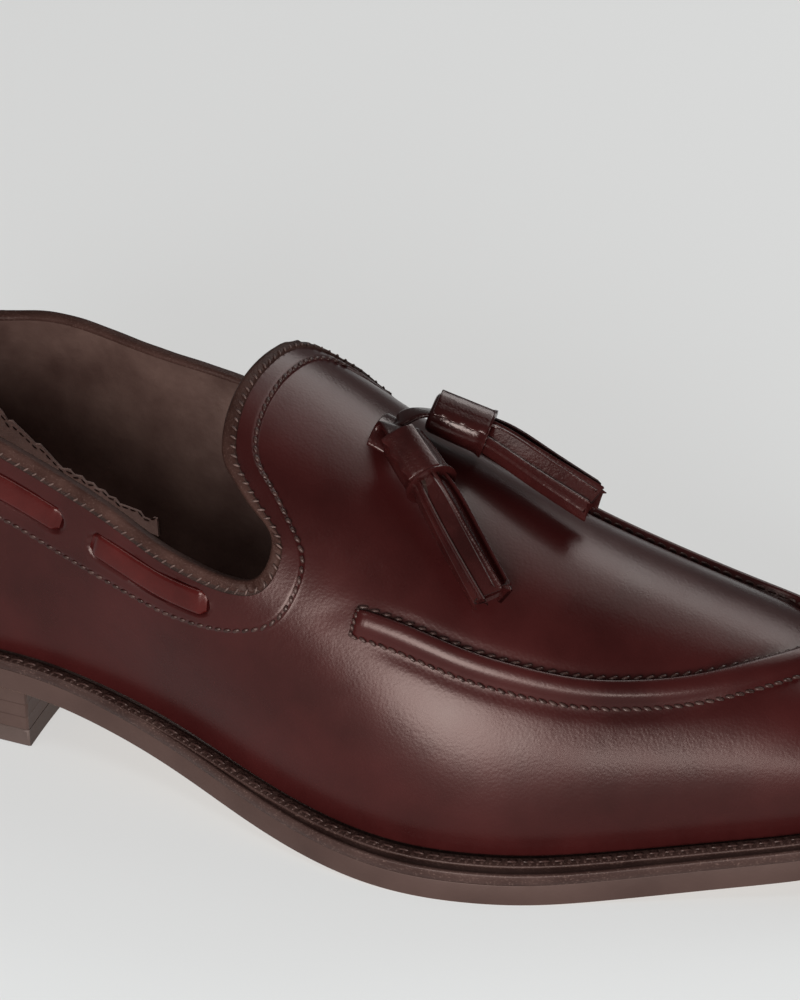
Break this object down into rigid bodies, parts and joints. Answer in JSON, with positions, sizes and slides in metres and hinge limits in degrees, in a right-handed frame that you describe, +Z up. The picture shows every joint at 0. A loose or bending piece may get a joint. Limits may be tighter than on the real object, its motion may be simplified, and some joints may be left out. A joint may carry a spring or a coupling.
{
  "type": "tassel loafer",
  "caption": "Slip-on leather tassel loafer for the right foot, with a raised apron seam, laced collar, stitched welt, leather sole and low stacked heel.",
  "frame": {"origin": "centre of the heel's flat underside, on the floor", "axes": "+X from the heel to the toe, +Y to the wearer's left, +Z up"},
  "size_m": [0.29, 0.1064, 0.1007],
  "materials": {
    "upper_leather": "polished",
    "edge_leather": "matte",
    "sole_leather": "satin",
    "welt_leather": "satin",
    "heel_leather": "satin",
    "heel_rubber": "matte",
    "lining_leather": "matte"
  },
  "bodies": {
    "root": {"outsole": "sole_leather", "welt": "welt_leather", "heel_lifts": "heel_leather", "heel_top_piece": "heel_rubber", "insole": "lining_leather", "upper": "upper_leather", "topline_binding": "edge_leather", "lace_outer_back": "upper_leather", "lace_outer_middle": "upper_leather", "lace_outer_front": "upper_leather", "lace_inner_front": "upper_leather", "lace_inner_middle": "upper_leather", "lace_inner_back": "upper_leather", "back_tab": "upper_leather", "lace_knot": "upper_leather", "tassel_outer": "upper_leather", "tassel_inner": "upper_leather"}
  },
  "joints": []
}
